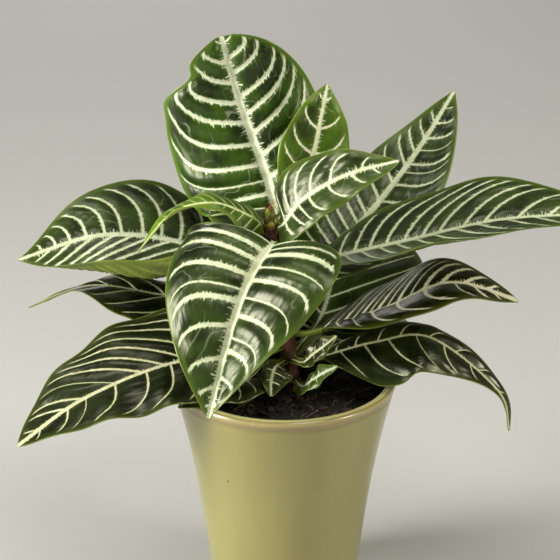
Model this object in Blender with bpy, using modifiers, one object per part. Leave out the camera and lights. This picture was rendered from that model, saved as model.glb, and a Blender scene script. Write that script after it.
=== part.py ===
# A zebra plant in a flared ceramic pot. Sizes are in millimetres and become metres when points are made.
# The origin is at the middle of the pot's flat bottom, +Z is up, and -Y is the side the broad front leaf hangs on.
import math

import bmesh
import bpy
import numpy as np
from mathutils import Vector

MM = 0.001

POT_HEIGHT = 150
POT_BASE_RADIUS = 43.8
POT_TOP_RADIUS = 68.8
POT_FLARE = 0.35
WALL = 4.5
LIP_HEIGHT = 6.5
LIP_BULGE = 0.9
MOUTH_RADIUS = 62.5
FLOOR_THICKNESS = 8
WALL_LEVELS = (40, 80, 110, 125, 138)
POT_STEPS = 48

SOIL_LEVEL = 138
SOIL_DOME = 1.5
SOIL_GAP = 0.4
HOLE_RADIUS = 6.1
HOLE_DEPTH = 30
STEM_FOOT_GAP = 0.5

STEM_WAY = [(5, 2, 108.5), (4.4, 1.4, 138), (3, 1, 160), (0, 0, 195), (-6, -2, 235), (-8, -3, 250)]
STEM_FOOT_RADIUS = 5.2
STEM_TOP_RADIUS = 3.8
STEM_POINTS = 16
BUD_LENGTH = 11
BUD_RADIUS = 4.6
BUD_GAP = 0.3

STALK_GAP = 0.8
STALK_HALF_WIDTH = 2.0
KEEL = 3.4
BLADE_THICKNESS = 0.9
KEEL_HALF_WIDTH = 2.2
TIP_HALF_WIDTH = 0.6
SIDE_COLUMNS = 3
STALK_ROWS = 2
BLADE_ROWS = 12

# What a leaf has unless its own entry says otherwise. Angles are in degrees: fold lifts each half from the
# midrib, curl bends it on the way to the margin, outline shapes the half width from base to tip, and wave is
# the margin's height, the number of waves and where they start. A pair is for the left and the right half,
# looking from base to tip at the upper face.
USUAL = {"stalk": 14, "fold": 10, "curl": -20, "outline": (0.6, 0.95), "wave": (1.5, 2.6, 0.2)}

# Each leaf: the height of its stalk on the stem and the heading it leaves by (0 is +X, 90 is +Y), the way of
# its midrib from blade base to tip, the way its upper face looks at base and tip, and its two half widths.
LEAVES = {
    "leaf_top_back": {
        "height": 240, "heading": 95, "halves": (57, 47), "fold": 15, "curl": -60,
        "outline": ((0.45, 0.68), (0.45, 0.5)),
        "way": [(-6, 14, 254), (-13, 22, 277), (-26, 26, 313), (-37, 20, 356)],
        "faces": [(-0.1, -1, 0.2), (0.1, -1, -0.2)],
    },
    "leaf_top_upright": {
        "height": 246, "heading": 80, "halves": (22, 22), "fold": 16, "outline": ((0.9, 0.95), (0.7, 0.95)),
        "way": [(3, 3, 259), (16, 5, 287), (22, 11, 314), (25, 17, 328)],
        "faces": [(0.1, -1, 0), (0.4, -0.9, 0.2)],
    },
    "leaf_top_right": {
        "height": 247, "heading": -45, "halves": (23.5, 18.5), "curl": -12, "outline": ((0.4, 1.05), (0.5, 0.75)),
        "way": [(0, -16, 254), (11, -20, 270), (36, -27, 287), (65, -32, 297)],
        "faces": [(-0.8, -0.5, 0.4), (-0.3, -0.7, 0.6)],
    },
    "leaf_top_left": {
        "height": 246, "heading": 195, "halves": (15, 14), "curl": (-10, -40),
        "way": [(-19, -9, 255), (-41, -18, 267), (-65, -22, 262), (-86, -24, 238)],
        "faces": [(0.6, -0.1, 0.8), (-0.9, 0, 0.5)],
    },
    "leaf_front": {
        "height": 236, "heading": -100, "halves": (52, 58), "stalk": 26, "fold": (32, 28), "curl": (-50, -68),
        "outline": ((0.22, 1), (0.2, 0.9)),
        "way": [(-7, -30, 246), (-20, -50, 231), (-31, -66, 205), (-43, -88, 162)],
        "faces": [(0.2, 0.1, 1), (-0.1, -0.6, 0.8)],
    },
    "leaf_right_upper": {
        "height": 211, "heading": 35, "halves": (33, 39), "curl": (-25, 10), "outline": ((0.6, 0.95), (0.6, 0.88)),
        "way": [(24, 20, 216), (54, 48, 239), (82, 71, 269), (106, 88, 304)],
        "faces": [(-0.4, -0.6, 0.7), (-0.2, -0.8, 0.5)],
    },
    "leaf_right_long": {
        "height": 224, "heading": -10, "halves": (42, 46), "fold": (12, 8), "curl": (0, 25),
        "outline": (0.65, 0.9),
        "way": [(16, -6, 226), (70, -2, 237), (126, -6, 252), (187, -14, 259)],
        "faces": [(-0.1, -0.1, 1), (-0.1, -0.2, 1)],
    },
    "leaf_right_back": {
        "height": 164, "heading": 40, "halves": (44, 57), "stalk": 22, "fold": (8, 2), "curl": (-20, -8),
        "outline": (0.4, 0.85),
        "way": [(23, 23, 180), (32, 57, 201), (40, 96, 209), (46, 128, 202)],
        "faces": [(-0.1, -0.5, 0.85), (0, -0.2, 1)],
    },
    "leaf_right_middle": {
        "height": 178, "heading": 0, "halves": (29, 31), "fold": (6, 20), "curl": (-10, -27),
        "way": [(20, 0, 180), (60, 0, 194), (99, 0, 210), (141, 0, 198)],
        "faces": [(0.1, 0.1, 1), (0.3, -0.4, 0.9)],
    },
    "leaf_right_low": {
        "height": 161, "heading": -10, "halves": (12, 33), "fold": (0, 15), "curl": (-30, -30),
        "outline": ((0.5, 0.75), (1.1, 2.4)),
        "way": [(20, -4, 163), (54, -4, 173), (88, -9, 178), (128, -19, 148), (136, -22, 122)],
        "faces": [(0, -0.5, 0.9), (0.6, -0.6, 0.5)],
    },
    "leaf_right_small": {
        "height": 162, "heading": -70, "halves": (7, 7), "stalk": 8,
        "way": [(11, -11, 163), (17, -15, 170), (24, -20, 178), (31, -24, 186)],
        "faces": [(-0.4, -0.5, 0.8), (-0.2, -0.7, 0.7)],
    },
    "leaf_left_long": {
        "height": 217, "heading": 160, "halves": (43, 48), "fold": (3, -20), "curl": (40, 28),
        "outline": ((0.7, 1.15), (1, 1.3)),
        "way": [(-23, 8, 218), (-65, 16, 231), (-111, 12, 236), (-160, 4, 223)],
        "faces": [(0.6, -0.2, 0.8), (-0.5, -0.7, 0.6)],
    },
    "leaf_left_narrow": {
        "height": 185, "heading": 140, "halves": (34, 24), "curl": (-25, -40),
        "way": [(-14, 14, 187), (-74, 32, 189), (-120, 36, 194), (-159, 32, 181)],
        "faces": [(-0.1, -0.4, 0.9), (-0.4, 0.1, 0.9)],
    },
    "leaf_left_low": {
        "height": 169, "heading": -160, "halves": (33, 39), "curl": -10, "outline": (0.6, 0.85),
        "way": [(-14, -12, 170), (-67, -26, 169), (-118, -44, 154), (-156, -60, 131)],
        "faces": [(0, -0.6, 0.8), (-0.4, -0.4, 0.9)],
    },
    "leaf_left_rim": {
        "height": 152, "heading": -130, "halves": (17, 11),
        "way": [(-14, -14, 154), (-29, -26, 156), (-45, -38, 156), (-63, -47, 150)],
        "faces": [(0.2, -0.1, 0.95), (0, -0.45, 0.9)],
    },
    "leaf_front_small": {
        "height": 161, "heading": -120, "halves": (12, 7), "stalk": 7,
        "way": [(-5, -15, 162), (-7, -21, 160), (-8, -27, 156), (-8, -33, 150)],
        "faces": [(0.2, -0.6, 0.8), (0, -0.8, 0.5)],
    },
    "leaf_soil_small": {
        "height": 148, "heading": -60, "halves": (8, 8), "stalk": 6,
        "way": [(11, -17, 150), (17, -25, 158), (23, -31, 165), (31, -37, 172)],
        "faces": [(-0.3, -0.3, 0.8), (0.2, -0.7, 0.7)],
    },
    "leaf_back_high": {
        "height": 234, "heading": 110, "halves": (34, 34),
        "way": [(-12, 18, 240), (-20, 58, 248), (-28, 96, 242), (-34, 130, 220)],
        "faces": [(0, 0.2, 0.95), (0, 0.6, 0.8)],
    },
    "leaf_back_left": {
        "height": 204, "heading": 135, "halves": (38, 38),
        "way": [(-20, 20, 206), (-54, 50, 212), (-88, 78, 204), (-116, 98, 178)],
        "faces": [(-0.2, 0.1, 0.95), (-0.5, 0.4, 0.8)],
    },
    "leaf_back_low": {
        "height": 170, "heading": 105, "halves": (36, 36),
        "way": [(-6, 20, 170), (-20, 60, 174), (-36, 96, 160), (-46, 120, 130)],
        "faces": [(-0.1, 0.2, 0.95), (-0.3, 0.7, 0.6)],
    },
    "leaf_back_right": {
        "height": 154, "heading": 65, "halves": (34, 34),
        "way": [(12, 24, 156), (36, 54, 166), (60, 80, 158), (78, 104, 130)],
        "faces": [(0.1, 0.1, 0.95), (0.5, 0.5, 0.7)],
    },
    "leaf_left_back_low": {
        "height": 158, "heading": 165, "halves": (30, 30),
        "way": [(-20, 6, 158), (-52, 18, 166), (-86, 30, 158), (-108, 38, 130)],
        "faces": [(0, 0, 0.95), (-0.6, 0, 0.7)],
    },
}


def clear_scene():
    for thing in list(bpy.data.objects):
        bpy.data.objects.remove(thing, do_unlink=True)


def new_collection(name, hidden=False):
    group = bpy.data.collections.new(name)
    bpy.context.scene.collection.children.link(group)
    group.hide_render = hidden
    return group


def material(name, colour, roughness):
    made = bpy.data.materials.new(name)
    made.use_nodes = True
    shader = made.node_tree.nodes["Principled BSDF"]
    shader.inputs["Base Color"].default_value = (*colour, 1)
    shader.inputs["Roughness"].default_value = roughness
    shader.inputs["Metallic"].default_value = 0
    return made


def add_mesh(name, mesh, group, skin):
    made = bpy.data.objects.new(name, mesh)
    group.objects.link(made)
    mesh.materials.append(skin)
    return made


def smooth(mesh, degrees=40):
    mesh.shade_smooth()
    mesh.set_sharp_from_angle(angle=math.radians(degrees))


# A turned piece: the profile runs down its outer side and is closed at the axis.
def turned(name, profile, group, skin, steps=POT_STEPS):
    mesh = bpy.data.meshes.new(name)
    points = [(radius * MM, 0, height * MM) for radius, height in profile]
    mesh.from_pydata(points, [(k, k + 1) for k in range(len(points) - 1)], [])
    made = add_mesh(name, mesh, group, skin)
    screw = made.modifiers.new("turn", "SCREW")
    screw.steps = steps
    screw.render_steps = steps
    screw.use_merge_vertices = True
    screw.merge_threshold = 0.00001
    screw.use_smooth_shade = True
    return made


def flare(height):
    share = height / POT_HEIGHT
    rise = (1 - POT_FLARE) * share + POT_FLARE * share**3
    return POT_BASE_RADIUS + (POT_TOP_RADIUS - POT_BASE_RADIUS) * rise


# The lip is a roll above a shallow groove, with its top rounded into the mouth.
def pot_profile():
    groove = POT_HEIGHT - LIP_HEIGHT
    bulge = flare(groove) + LIP_BULGE
    outer = [
        (MOUTH_RADIUS + 1.6, POT_HEIGHT),
        (bulge - 1.6, POT_HEIGHT - 0.3),
        (bulge - 0.3, POT_HEIGHT - 1.4),
        (bulge, POT_HEIGHT - 3),
        (bulge - 0.4, POT_HEIGHT - 4.8),
        (flare(groove) - 0.4, groove),
    ]
    outer += [(flare(height), height) for height in (141, 132, 118, 100, 78, 52, 26, 2.5)]
    outer += [(flare(0) - 0.6, 0.7), (flare(0) - 2.2, 0), (0, 0)]
    inner = [(0, FLOOR_THICKNESS)]
    inner += [(flare(height) - WALL, height) for height in (FLOOR_THICKNESS, *WALL_LEVELS)]
    inner += [(MOUTH_RADIUS - 0.6, 143), (MOUTH_RADIUS, POT_HEIGHT - 1.6), (MOUTH_RADIUS + 1.6, POT_HEIGHT)]
    return outer + inner


def soil_profile():
    levels = [SOIL_LEVEL - 1, *reversed(WALL_LEVELS[:-1]), FLOOR_THICKNESS + SOIL_GAP]
    side = [(flare(height) - WALL - SOIL_GAP, height) for height in levels]
    rings = [0, 0.35, 0.7, 0.97]
    edge = side[0][0]
    top = [(edge * ring, SOIL_LEVEL - 1 + SOIL_DOME * (1 - ring**2)) for ring in rings]
    return top + side + [(0, FLOOR_THICKNESS + SOIL_GAP)]


# A blind hole for the stem, cut from above.
def cut_hole(soil, cutters):
    foot = SOIL_LEVEL - HOLE_DEPTH
    x, y, _ = STEM_WAY[0]
    mesh = bpy.data.meshes.new("stem_hole")
    form = bmesh.new()
    bmesh.ops.create_cone(form, cap_ends=True, segments=24, radius1=HOLE_RADIUS * MM,
                          radius2=HOLE_RADIUS * MM, depth=2 * HOLE_DEPTH * MM)
    form.to_mesh(mesh)
    form.free()
    cutter = bpy.data.objects.new("stem_hole", mesh)
    cutters.objects.link(cutter)
    cutter.location = (x * MM, y * MM, (foot + HOLE_DEPTH) * MM)
    cutter.hide_render = True
    cutter.display_type = "WIRE"
    cut = soil.modifiers.new("hole", "BOOLEAN")
    cut.operation = "DIFFERENCE"
    cut.solver = "EXACT"
    cut.object = cutter


# A smooth curve through the given points, and the distance along it at each sample.
def smooth_way(points, samples=40):
    given = np.array(points, float)
    held = np.vstack([2 * given[0] - given[1], given, 2 * given[-1] - given[-2]])
    found = []
    for k in range(1, len(held) - 2):
        before, start, end, after = held[k - 1 : k + 3]
        for t in np.linspace(0, 1, samples, endpoint=k == len(held) - 3):
            bend = (2 * before - 5 * start + 4 * end - after) * t**2
            turn = (3 * start - before - 3 * end + after) * t**3
            found.append(0.5 * (2 * start + (end - before) * t + bend + turn))
    found = np.array(found)
    steps = np.linalg.norm(np.diff(found, axis=0), axis=1)
    return found, np.concatenate([[0], np.cumsum(steps)])


def at_distance(way, reach, distance):
    return np.stack([np.interp(distance, reach, way[:, axis]) for axis in range(3)], -1)


def stem_centre(height):
    way, _ = smooth_way(STEM_WAY)
    return np.array([np.interp(height, way[:, 2], way[:, axis]) for axis in range(3)])


def stem_radius(height):
    foot, top = STEM_WAY[0][2], STEM_WAY[-1][2]
    return STEM_FOOT_RADIUS + (STEM_TOP_RADIUS - STEM_FOOT_RADIUS) * (height - foot) / (top - foot)


def tube(name, points, radii, group, skin, sides=3):
    curve = bpy.data.curves.new(name, "CURVE")
    curve.dimensions = "3D"
    curve.bevel_depth = MM
    curve.bevel_resolution = sides
    curve.use_fill_caps = True
    line = curve.splines.new("POLY")
    line.points.add(len(points) - 1)
    for point, place, radius in zip(line.points, points, radii):
        point.co = (*(Vector(place) * MM), 1)
        point.radius = radius
    made = bpy.data.objects.new(name, curve)
    group.objects.link(made)
    curve.materials.append(skin)
    return made


def make_stem(group, skin):
    way, reach = smooth_way(STEM_WAY)
    points = at_distance(way, reach, np.linspace(0, reach[-1], STEM_POINTS))
    points[0, 2] += STEM_FOOT_GAP
    tube("stem", [tuple(point) for point in points], [stem_radius(point[2]) for point in points], group, skin)


# The growing tip stands on the stem's top and leans with it.
def make_bud(group, skin):
    profile = [(0, BUD_LENGTH), (1.2, BUD_LENGTH - 1), (3, 7.4), (BUD_RADIUS, 4), (4.2, 1.4), (3.4, 0), (0, 0)]
    bud = turned("bud", profile, group, skin, steps=20)
    top, below = (Vector(STEM_WAY[k]) for k in (-1, -2))
    lean = (top - below).normalized()
    bud.rotation_mode = "QUATERNION"
    bud.rotation_quaternion = Vector((0, 0, 1)).rotation_difference(lean)
    bud.location = (top + lean * BUD_GAP) * MM


def both(value):
    return value if isinstance(value, tuple) else (value, value)


def unit(vectors):
    return vectors / np.linalg.norm(vectors, axis=-1, keepdims=True)


def row_distances(stalk, length):
    foot = np.linspace(0, stalk, STALK_ROWS + 1)[:-1]
    share = (1 - np.cos(np.linspace(0, math.pi, BLADE_ROWS + 1))) / 2
    return np.concatenate([foot, stalk + (length - stalk) * share])


# Middle, along and facing directions of each row of a leaf, and its share of the blade's length.
def leaf_rows(leaf):
    heading = math.radians(leaf["heading"])
    out = np.array([math.cos(heading), math.sin(heading), 0])
    start = stem_centre(leaf["height"]) + (stem_radius(leaf["height"]) + STALK_GAP) * out
    way, reach = smooth_way([start, *leaf["way"]])
    length = reach[-1]
    distance = row_distances(leaf["stalk"], length)
    middle = at_distance(way, reach, distance)
    ahead = at_distance(way, reach, np.minimum(distance + 2, length))
    behind = at_distance(way, reach, np.maximum(distance - 2, 0))
    along = unit(ahead - behind)
    share = np.clip((distance - leaf["stalk"]) / (length - leaf["stalk"]), 0, 1)[:, None]
    base, tip = (unit(np.array(face, float)) for face in leaf["faces"])
    facing = base * (1 - share) + tip * share
    facing = unit(facing - (facing * along).sum(1, keepdims=True) * along)
    return middle, along, facing, share[:, 0], distance


def half_width(leaf, side, share, distance):
    rise, fall = leaf["outline"][side] if isinstance(leaf["outline"][0], tuple) else leaf["outline"]
    widest = rise / (rise + fall)
    blade = share**rise * (1 - share) ** fall / (widest**rise * (1 - widest) ** fall)
    stalk = STALK_HALF_WIDTH * np.clip(1 - (distance - leaf["stalk"] - 2) / 6, 0, 1)
    return np.maximum(np.maximum(leaf["halves"][side] * blade, stalk), TIP_HALF_WIDTH)


# How far a column lies from the midrib on the blade: none, the keel's edge, halfway on, the margin.
def column_reach(column, half):
    keel = np.minimum(KEEL_HALF_WIDTH, 0.4 * half)
    return (0 * half, keel, (keel + half) / 2, half)[column]


def column_points(leaf, column, rows):
    middle, along, facing, share, distance = rows
    sign = -1 if column < 0 else 1
    side = 0 if column < 0 else 1
    half = half_width(leaf, side, share, distance)
    reach = column_reach(abs(column), half)
    fold = math.radians(both(leaf["fold"])[side])
    bend = math.radians(both(leaf["curl"])[side] or 0.01) / leaf["halves"][side]
    out = (np.sin(fold + bend * reach) - math.sin(fold)) / bend
    up = (math.cos(fold) - np.cos(fold + bend * reach)) / bend
    height, count, start = leaf["wave"]
    turn = count * share + start + (0.37 if side == 0 else 0)
    up = up + height * (reach / half) ** 2 * np.sin(2 * math.pi * turn) * np.sin(math.pi * share)
    across = np.cross(along, facing)
    return middle + sign * across * out[:, None] + facing * up[:, None]


def column_thickness(column, share):
    keel = KEEL * np.clip(1 - 0.75 * share, 0.3, 1)
    stalk = np.clip(1 - 8 * share, 0, 1)
    return (keel, keel, np.maximum(BLADE_THICKNESS, 3 * stalk), np.maximum(BLADE_THICKNESS, 2.6 * stalk))[abs(column)]


# A leaf is a sheet of triangles bent to its place, thickened on its underside, most along the midrib.
def make_leaf(name, own, group, skin):
    leaf = {**USUAL, **own}
    rows = leaf_rows(leaf)
    columns = range(-SIDE_COLUMNS, SIDE_COLUMNS + 1)
    places = {column: column_points(leaf, column, rows) for column in columns}
    depths = {column: column_thickness(column, rows[3]) for column in columns}
    row_count = STALK_ROWS + BLADE_ROWS
    form = bmesh.new()
    bmesh.ops.create_grid(form, x_segments=2 * SIDE_COLUMNS, y_segments=row_count, size=1)
    weights = {}
    for vertex in form.verts:
        column = round(vertex.co.x * SIDE_COLUMNS)
        row = round((vertex.co.y + 1) / 2 * row_count)
        vertex.co = Vector(places[column][row]) * MM
        weights[vertex.index] = depths[column][row] / KEEL
    bmesh.ops.triangulate(form, faces=form.faces[:], quad_method="FIXED")
    mesh = bpy.data.meshes.new(name)
    form.to_mesh(mesh)
    form.free()
    made = add_mesh(name, mesh, group, skin)
    depth = made.vertex_groups.new(name="depth")
    for index, weight in weights.items():
        depth.add([index], weight, "REPLACE")
    shell = made.modifiers.new("thickness", "SOLIDIFY")
    shell.thickness = KEEL * MM
    shell.offset = -1
    shell.vertex_group = "depth"
    smooth(mesh, 60)


def main():
    clear_scene()
    parts = new_collection("potted_zebra_plant")
    cutters = new_collection("cutters", hidden=True)
    glaze = material("pot", (0.43, 0.41, 0.19), 0.3)
    earth = material("soil", (0.02, 0.012, 0.008), 0.95)
    bark = material("stem", (0.09, 0.045, 0.02), 0.6)
    green = material("leaf", (0.03, 0.08, 0.02), 0.32)
    turned("pot", pot_profile(), parts, glaze)
    soil = turned("soil", soil_profile(), parts, earth)
    cut_hole(soil, cutters)
    make_stem(parts, bark)
    make_bud(parts, bark)
    for name, leaf in LEAVES.items():
        make_leaf(name, leaf, parts, green)


main()
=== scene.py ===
import math

import bmesh
import bpy
import numpy as np
from mathutils import Matrix, Vector, noise


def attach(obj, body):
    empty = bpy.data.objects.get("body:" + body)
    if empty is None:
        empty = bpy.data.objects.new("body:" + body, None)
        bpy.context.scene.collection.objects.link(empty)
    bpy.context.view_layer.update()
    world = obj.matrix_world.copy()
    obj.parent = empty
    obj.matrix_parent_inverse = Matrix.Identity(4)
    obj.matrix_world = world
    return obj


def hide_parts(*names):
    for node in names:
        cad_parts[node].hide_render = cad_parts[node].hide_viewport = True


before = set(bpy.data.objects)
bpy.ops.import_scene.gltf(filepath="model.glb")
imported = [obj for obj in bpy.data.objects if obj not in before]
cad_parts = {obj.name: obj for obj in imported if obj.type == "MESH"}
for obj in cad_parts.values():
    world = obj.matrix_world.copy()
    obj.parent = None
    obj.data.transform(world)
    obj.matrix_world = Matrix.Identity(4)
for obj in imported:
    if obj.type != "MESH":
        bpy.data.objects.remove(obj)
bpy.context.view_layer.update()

# A zebra plant in a flared, glazed pot. The object's own sizes are in millimetres and become metres when
# points are made; the camera, the lamps and the floor are in metres.
mm = 0.001


# Shared helpers for meshes

def unit(vectors):
    return vectors / np.linalg.norm(vectors, axis=-1, keepdims=True)


def fade(values, low, high):
    share = np.clip((values - low) / (high - low), 0, 1)
    return share * share * (3 - 2 * share)


def newObject(name, data):
    made = bpy.data.objects.new(name, data)
    bpy.context.scene.collection.objects.link(made)
    return made


def newGrid(across, along, half):
    form = bmesh.new()
    bmesh.ops.create_grid(form, x_segments=across, y_segments=along, size=half)
    return form


def meshFrom(form, name):
    mesh = bpy.data.meshes.new(name)
    form.to_mesh(mesh)
    form.free()
    return mesh


def finished(made):
    # the evaluated mesh with every modifier in it, on an object that has none left
    bpy.context.view_layer.update()
    graph = bpy.context.evaluated_depsgraph_get()
    mesh = bpy.data.meshes.new_from_object(made.evaluated_get(graph), depsgraph=graph)
    name = made.name
    bpy.data.objects.remove(made, do_unlink=True)
    return newObject(name, mesh)


def settle(made, slotName, *nodes):
    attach(made, "root")
    if nodes:
        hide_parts(*nodes)


def smoothWay(points, samples=40):
    # a smooth curve through the given points, and the distance along it at each sample
    given = np.array(points, float)
    held = np.vstack([2 * given[0] - given[1], given, 2 * given[-1] - given[-2]])
    found = []
    for k in range(1, len(held) - 2):
        before, start, end, after = held[k - 1 : k + 3]
        for t in np.linspace(0, 1, samples, endpoint=k == len(held) - 3):
            bend = (2 * before - 5 * start + 4 * end - after) * t**2
            turn = (3 * start - before - 3 * end + after) * t**3
            found.append(0.5 * (2 * start + (end - before) * t + bend + turn))
    found = np.array(found)
    steps = np.linalg.norm(np.diff(found, axis=0), axis=1)
    return found, np.concatenate([[0], np.cumsum(steps)])


def atDistance(way, reach, distance):
    return np.stack([np.interp(distance, reach, way[:, axis]) for axis in range(3)], -1)


def turned(name, profile, steps):
    # the profile runs down the outer side and is closed at the axis
    mesh = bpy.data.meshes.new(name)
    points = [(radius * mm, 0, height * mm) for radius, height in profile]
    mesh.from_pydata(points, [(k, k + 1) for k in range(len(points) - 1)], [])
    made = newObject(name, mesh)
    screw = made.modifiers.new("turn", "SCREW")
    screw.steps = steps
    screw.render_steps = steps
    screw.use_merge_vertices = True
    screw.merge_threshold = 0.00001
    screw.use_smooth_shade = True
    return finished(made)


# Shared helpers for node trees, used by the materials and by the Geometry Nodes

def feed(socket, value):
    if isinstance(value, bpy.types.NodeSocket):
        socket.id_data.links.new(value, socket)
    else:
        socket.default_value = value


def addNode(kind, inputs=None, tree=None, **settings):
    # a node in the given tree, or else in the tree that its inputs come from
    inputs = inputs or {}
    if tree is None:
        tree = next(value.id_data for value in inputs.values() if isinstance(value, bpy.types.NodeSocket))
    made = tree.nodes.new(kind)
    for name, value in settings.items():
        setattr(made, name, value)
    for key, value in inputs.items():
        feed(made.inputs[key], value)
    return made


def calc(operation, *values):
    return addNode("ShaderNodeMath", dict(enumerate(values)), operation=operation).outputs[0]


def times(found, *others):
    for other in others:
        found = calc("MULTIPLY", found, other)
    return found


def plus(found, *others):
    for other in others:
        found = calc("ADD", found, other)
    return found


def minus(whole, part):
    return calc("SUBTRACT", whole, part)


def vectorMath(operation, inputs):
    return addNode("ShaderNodeVectorMath", inputs, operation=operation).outputs[0]


def vectorOf(x=0.0, y=0.0, z=0.0):
    return addNode("ShaderNodeCombineXYZ", {0: x, 1: y, 2: z}).outputs[0]


def split(vector):
    return addNode("ShaderNodeSeparateXYZ", {0: vector}).outputs


def between(value, low, high, start=0.0, end=1.0):
    limits = {"Value": value, "From Min": low, "From Max": high, "To Min": start, "To Max": end}
    return addNode("ShaderNodeMapRange", limits, interpolation_type="SMOOTHSTEP").outputs["Result"]


def colour(red, green, blue):
    # a colour as a paint chart gives it, from 0 to 255, in the light that the shader counts in
    shares = [value / 255 for value in (red, green, blue)]
    return (*[s / 12.92 if s <= 0.04045 else ((s + 0.055) / 1.055) ** 2.4 for s in shares], 1)


def readNumbers(tree, name, output):
    return addNode("ShaderNodeAttribute", tree=tree, attribute_name=name).outputs[output]


def mixColour(share, first, second):
    # each of the two is a socket, a paint chart's three numbers or a shader's four
    inputs = {"Factor": share}
    for key, tone in ((6, first), (7, second)):
        isChart = isinstance(tone, tuple) and len(tone) == 3
        inputs[key] = colour(*tone) if isChart else tone
    return addNode("ShaderNodeMix", inputs, data_type="RGBA").outputs[2]


def tinted(body, mask, share, tint):
    # the body colour with a share of the tint where the mask is
    return mixColour(times(mask, share), body, tint)


def grain(place, scale, detail=3.0, rough=0.5):
    inputs = {"Vector": place, "Scale": scale, "Detail": detail, "Roughness": rough}
    return addNode("ShaderNodeTexNoise", inputs).outputs["Fac"]


def stretch(place, scale, offset=(0, 0, 0)):
    inputs = {"Vector": place, "Scale": scale, "Location": offset}
    return addNode("ShaderNodeMapping", inputs).outputs[0]


def newGroup(name, kind, inputs, outputs):
    group = bpy.data.node_groups.new(name, kind)
    for way, sockets in (("INPUT", inputs), ("OUTPUT", outputs)):
        for socketName, socketKind in sockets.items():
            group.interface.new_socket(socketName, in_out=way, socket_type="NodeSocket" + socketKind)
    entry = group.nodes.new("NodeGroupInput").outputs
    exits = group.nodes.new("NodeGroupOutput").inputs
    return group, entry, exits


def newMaterial(name, roughness):
    # a material with its shader, and the places on the object that its patterns read
    made = bpy.data.materials.new(name)
    made.use_nodes = True
    tree = made.node_tree
    tree.nodes.clear()
    shader = tree.nodes.new("ShaderNodeBsdfPrincipled")
    shader.inputs["Roughness"].default_value = roughness
    out = tree.nodes.new("ShaderNodeOutputMaterial")
    tree.links.new(shader.outputs["BSDF"], out.inputs["Surface"])
    return made, shader, tree.nodes.new("ShaderNodeTexCoord").outputs["Object"]


def paint(shader, body, roughness=None):
    feed(shader.inputs["Base Color"], body)
    if roughness is not None:
        feed(shader.inputs["Roughness"], roughness)


def bump(shader, height, strength, distance):
    made = addNode("ShaderNodeBump", {"Height": height, "Strength": strength, "Distance": distance})
    feed(shader.inputs["Normal"], made.outputs["Normal"])


# Camera, light and floor

camera = {"place": (-0.0027, -1.0366, 0.6201), "lens": 120, "sensor": 36, "pitch": 21.5}


def makeCamera():
    data = bpy.data.cameras.new("camera")
    data.lens = camera["lens"]
    data.sensor_width = camera["sensor"]
    made = newObject("camera", data)
    made.location = camera["place"]
    made.rotation_euler = (math.radians(90 - camera["pitch"]), 0, 0)
    bpy.context.scene.camera = made


# Each lamp: its place, what it looks at, its size in metres, its power in watts, its colour and its beam in
# degrees.
studio = {
    "lamps": {
        "window": ((-1.5, -0.5, 0.8), (0, 0, 0.14), 0.7, 30, (1.0, 0.98, 0.88), 180),
        "lowLeft": ((-1.35, -0.4, 0.3), (0, 0, 0.06), 0.4, 2.0, (0.98, 1.0, 0.94), 70),
        "overhead": ((0.4, -0.65, 1.7), (0, 0, 0.2), 0.8, 10, (1.0, 0.99, 0.9), 180),
        "ceiling": ((-0.4, 0, 1.6), (0, 0, 0.2), 0.6, 4.5, (1.0, 0.99, 0.92), 180),
        "backSheen": ((-0.6, 2.4, 0.75), (-0.05, 0, 0.22), 1.0, 3, (1.0, 0.99, 0.94), 180),
        "rightFill": ((1.5, -0.6, 1.0), (0, 0, 0.16), 0.5, 15, (1.0, 0.95, 0.82), 180),
        "farFloor": ((0, 1.9, 2.6), (0, 1.9, 0), 0.5, 4, (1.0, 0.99, 0.95), 75),
    },
    "airColour": (0.98, 0.98, 0.7, 1), "airStrength": 0.2,
    "floorColour": (194, 193, 196), "floorShade": 0.97, "floorHalf": 6,
}


def makeLight():
    for name, (place, target, size, power, tint, beam) in studio["lamps"].items():
        data = bpy.data.lights.new(name, "AREA")
        data.shape = "DISK"
        data.size = size
        data.energy = power
        data.color = tint
        data.spread = math.radians(beam)
        made = newObject(name, data)
        made.location = place
        aim = Vector(target) - Vector(place)
        made.rotation_euler = aim.to_track_quat("-Z", "Y").to_euler()
    world = bpy.data.worlds.new("air")
    world.use_nodes = True
    background = world.node_tree.nodes["Background"]
    background.inputs["Color"].default_value = studio["airColour"]
    background.inputs["Strength"].default_value = studio["airStrength"]
    bpy.context.scene.world = world
    bpy.context.scene.view_settings.view_transform = "Standard"


def makeFloor():
    made = newObject("floor", meshFrom(newGrid(8, 8, studio["floorHalf"]), "floor"))
    skin, shader, place = newMaterial("paleFloor", 0.75)
    pale = colour(*studio["floorColour"])
    darker = (*[value * studio["floorShade"] for value in pale[:3]], 1)
    paint(shader, mixColour(grain(place, 3.0), pale, darker))
    made.data.materials.append(skin)


# Pot

pot = {
    "height": 150, "baseRadius": 43.8, "topRadius": 68.8, "flare": 0.35, "wall": 4.5,
    "lipHeight": 6.5, "lipBulge": 0.9, "mouthRadius": 62.5, "floorThickness": 8, "steps": 160,
    "glazeLight": (154, 148, 90), "glazeDark": (130, 123, 68), "glazeFleck": (138, 128, 66),
    # crest is a painted highlight on the lip's top, and groove is painted shade under the lip
    "speck": (74, 62, 30), "crestHighlight": (204, 200, 146), "lip": (142, 116, 82),
    "groove": (112, 102, 54), "inside": (186, 181, 124),
    # the two tones of the dark inside wall below the lip
    "insideDarkDeep": (20, 15, 11), "insideDarkPale": (48, 36, 24),
}


def flare(height):
    share = height / pot["height"]
    rise = (1 - pot["flare"]) * share + pot["flare"] * share**3
    return pot["baseRadius"] + (pot["topRadius"] - pot["baseRadius"]) * rise


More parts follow.
